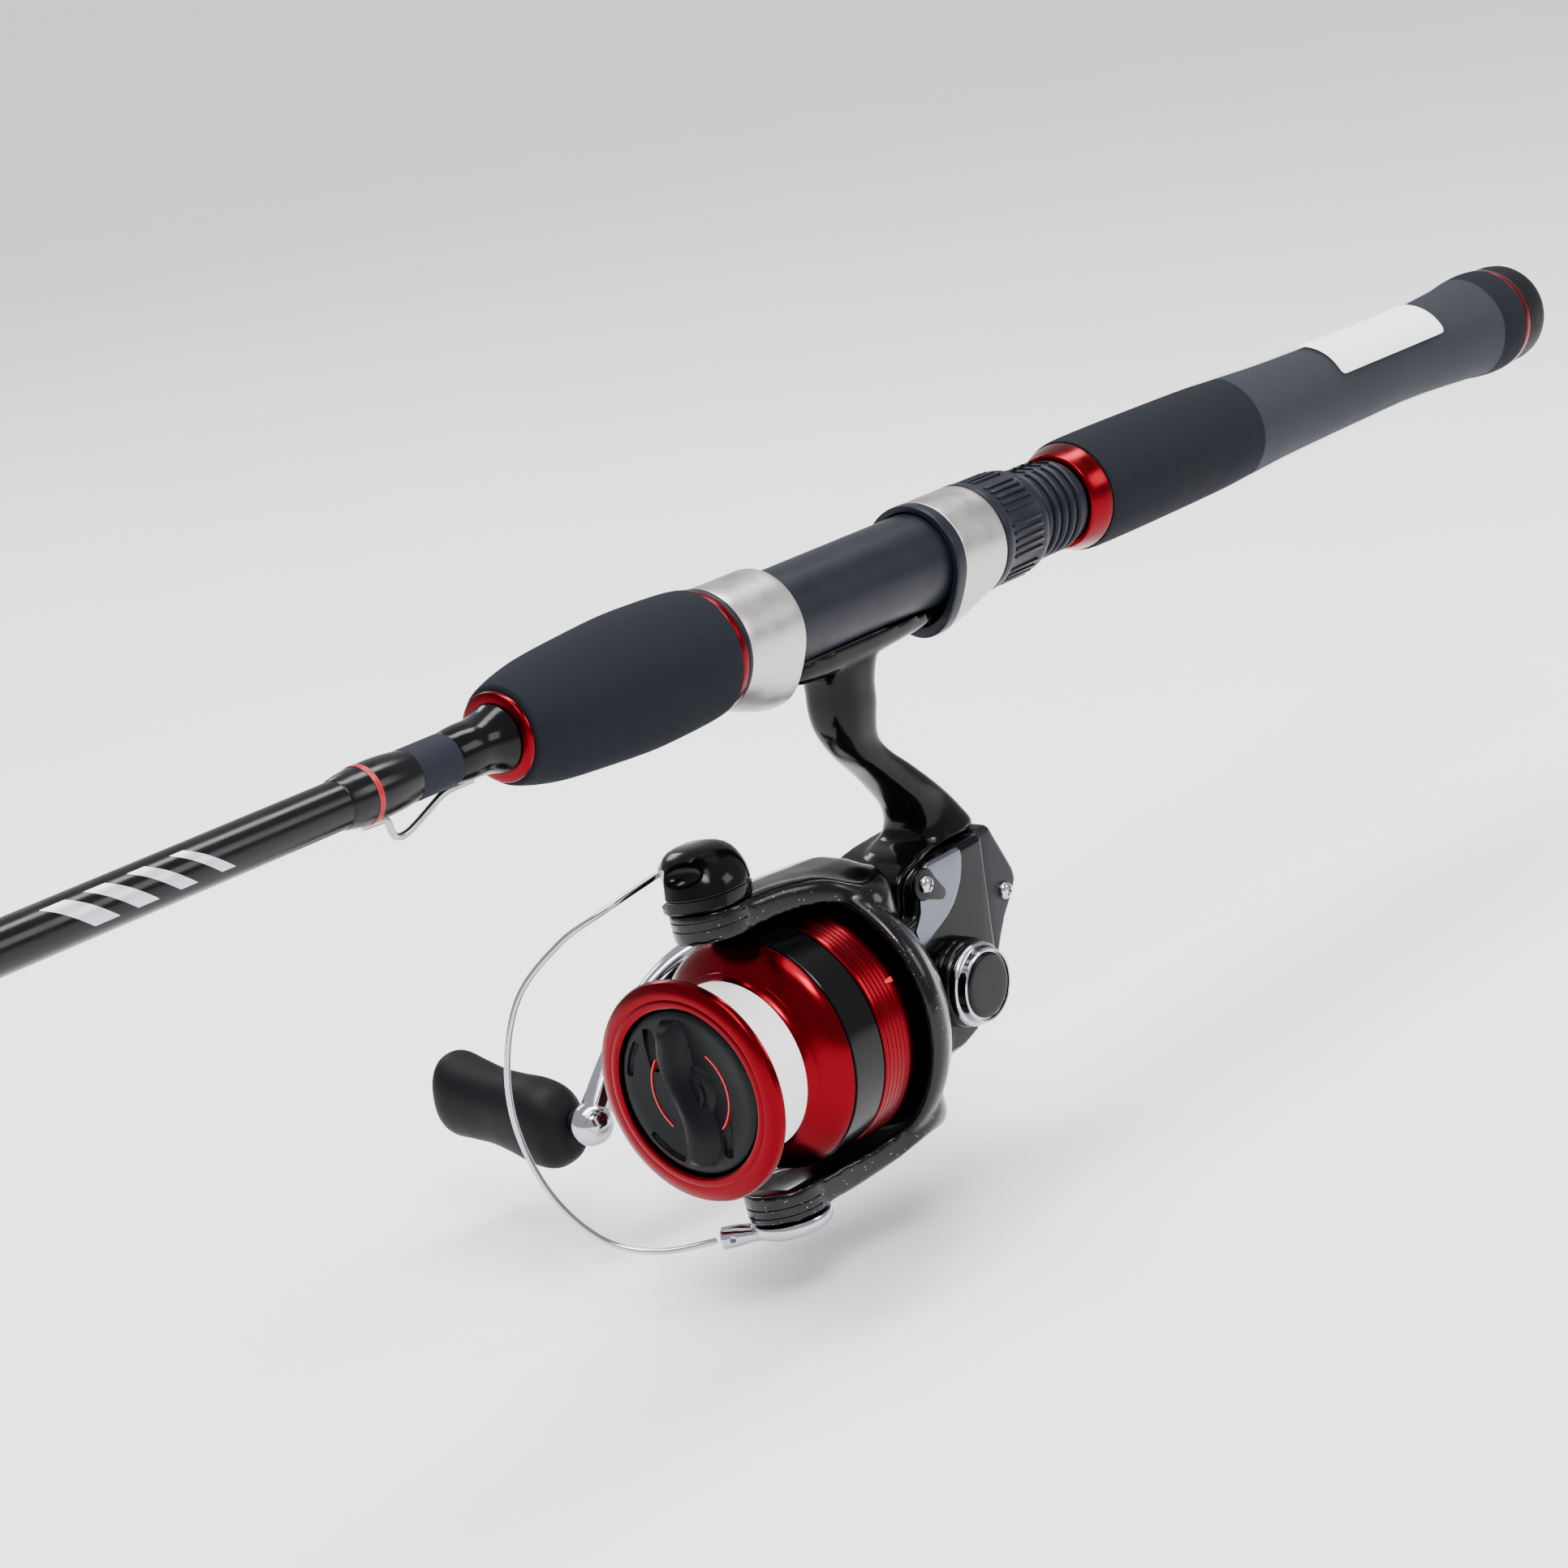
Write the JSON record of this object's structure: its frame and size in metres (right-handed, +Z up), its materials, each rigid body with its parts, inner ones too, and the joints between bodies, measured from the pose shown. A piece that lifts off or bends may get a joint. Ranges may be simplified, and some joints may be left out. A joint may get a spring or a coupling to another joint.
{
  "type": "spinning fishing rod with reel",
  "caption": "Two-section light spinning rod with foam grips, screw reel seat and ring guides, carrying a front-drag spinning reel with a turning rotor, swinging bail and cranked handle.",
  "frame": {"origin": "centre of the butt's flat end face", "axes": "+X out of the butt end, the tip points along -X; +Z up, the reel hangs on the -Z side; +Y towards the reel's handle"},
  "size_m": [1.9781, 0.123, 0.138],
  "materials": {
    "foam": "closed-cell foam, matte",
    "red_metal": "red anodised, satin",
    "satin_metal": "satin grey plating",
    "black_gloss": "gloss black with fine metallic flake",
    "black_satin": "satin black",
    "carbon": "clear-coated graphite composite",
    "chrome": "bright plating",
    "steel": "polished stainless",
    "zinc": "cast zinc alloy, dull grey",
    "brass": "machined",
    "rubber": "matte black",
    "film": "clear shrink film",
    "paper": "white wrap, matte",
    "ceramic": "polished dark ceramic",
    "felt": "pressed felt and steel stack"
  },
  "bodies": {
    "rod_handle": {"butt_cap": "rubber", "butt_ring": "red_metal", "rear_grip": "foam", "grip_film": "film", "rear_check_cone": "red_metal", "reel_seat": "black_satin", "fixed_hood": "satin_metal", "foregrip_ring": "red_metal", "foregrip": "foam", "front_ring": "red_metal", "keeper_winding": "black_gloss", "hook_keeper": "chrome", "butt_blank": "carbon", "guide_frame_1": "steel", "guide_ring_1": "ceramic", "reel_body": "black_gloss", "side_cover": "black_gloss", "rear_cover": "black_satin", "front_screw": "steel", "low_screw": "steel", "tail_screw": "steel", "left_bearing": "steel", "right_bearing": "steel"},
    "tip_section": {"tip_blank": "carbon", "tip_tube": "steel", "tip_frame": "steel", "tip_ring": "ceramic", "guide_frame_2": "steel", "guide_ring_2": "ceramic", "guide_frame_3": "steel", "guide_ring_3": "ceramic", "guide_frame_4": "steel", "guide_ring_4": "ceramic", "guide_frame_5": "steel", "guide_ring_5": "ceramic"},
    "hood": {"movable_hood": "satin_metal", "hood_collar": "black_satin"},
    "nut": {"seat_nut": "black_satin"},
    "lever": {"anti_reverse_lever": "black_satin"},
    "crank": {"handle_axle": "steel", "drive_gear": "zinc", "handle_collar": "chrome"},
    "crank_arm": {"handle_arm": "chrome"},
    "knob": {"handle_knob": "rubber"},
    "cap": {"screw_cap": "chrome", "cap_insert": "black_gloss"},
    "rotor_head": {"rotor": "black_gloss", "rotor_nut": "steel", "pinion": "brass"},
    "bail": {"roller_arm": "black_gloss", "wire_holder": "satin_metal", "bail_wire": "chrome", "cam_arm": "chrome"},
    "roller": {"line_roller": "chrome"},
    "shaft": {"main_shaft": "steel"},
    "spool_set": {"spool": "red_metal", "spool_wrap": "paper", "skirt_band": "black_gloss", "drag_washers": "felt"},
    "drag": {"drag_knob": "black_satin"}
  },
  "joints": [
    {"name": "tip_slide", "type": "slide", "parent": "rod_handle", "child": "tip_section", "axis": [1, 0, 0], "range_m": [-0.06, 0]},
    {"name": "hood_slide", "type": "slide", "parent": "rod_handle", "child": "hood", "axis": [1, 0, 0], "range_m": [0, 0.012]},
    {"name": "nut_turn", "type": "hinge", "parent": "hood", "child": "nut", "pos_m": [-0.236, 0, 0], "axis": [1, 0, 0], "range_deg": [0, 1440]},
    {"name": "lever_tilt", "type": "hinge", "parent": "rod_handle", "child": "lever", "pos_m": [-0.285, 0, -0.1046], "axis": [0, 1, 0], "range_deg": [0, 15]},
    {"name": "handle_turn", "type": "hinge", "parent": "rod_handle", "child": "crank", "pos_m": [-0.2813, 0, -0.0859], "axis": [0, 1, 0], "continuous": true},
    {"name": "handle_fold", "type": "hinge", "parent": "crank", "child": "crank_arm", "pos_m": [-0.2813, 0.051, -0.0859], "axis": [0, 0, -1], "range_deg": [0, 85]},
    {"name": "knob_spin", "type": "hinge", "parent": "crank_arm", "child": "knob", "pos_m": [-0.3325, 0.0745, -0.1067], "axis": [0, 1, 0], "continuous": true},
    {"name": "cap_turn", "type": "hinge", "parent": "crank", "child": "cap", "pos_m": [-0.2813, -0.019, -0.0859], "axis": [0, -1, 0], "continuous": true},
    {"name": "rotor_turn", "type": "hinge", "parent": "rod_handle", "child": "rotor_head", "pos_m": [-0.305, 0, -0.0846], "axis": [1, 0, 0], "continuous": true},
    {"name": "bail_swing", "type": "hinge", "parent": "rotor_head", "child": "bail", "pos_m": [-0.3356, 0, -0.0846], "axis": [0, 0.1392, 0.9903], "range_deg": [0, 105]},
    {"name": "roller_spin", "type": "hinge", "parent": "bail", "child": "roller", "pos_m": [-0.3326, 0.0054, -0.04618], "axis": [0, 0.9903, -0.1392], "continuous": true},
    {"name": "shaft_slide", "type": "slide", "parent": "rod_handle", "child": "shaft", "axis": [1, 0, 0], "range_m": [-0.01, 0.004]},
    {"name": "spool_slip", "type": "hinge", "parent": "shaft", "child": "spool_set", "pos_m": [-0.34, 0, -0.0846], "axis": [1, 0, 0], "continuous": true},
    {"name": "drag_turn", "type": "hinge", "parent": "shaft", "child": "drag", "pos_m": [-0.353, 0, -0.0846], "axis": [1, 0, 0], "continuous": true}
  ],
  "couplings": [
    {"joint": "rotor_turn", "follows": "handle_turn", "ratio": 5},
    {"joint": "hood_slide", "follows": "nut_turn", "m_per_rad": 0.00047746}
  ]
}
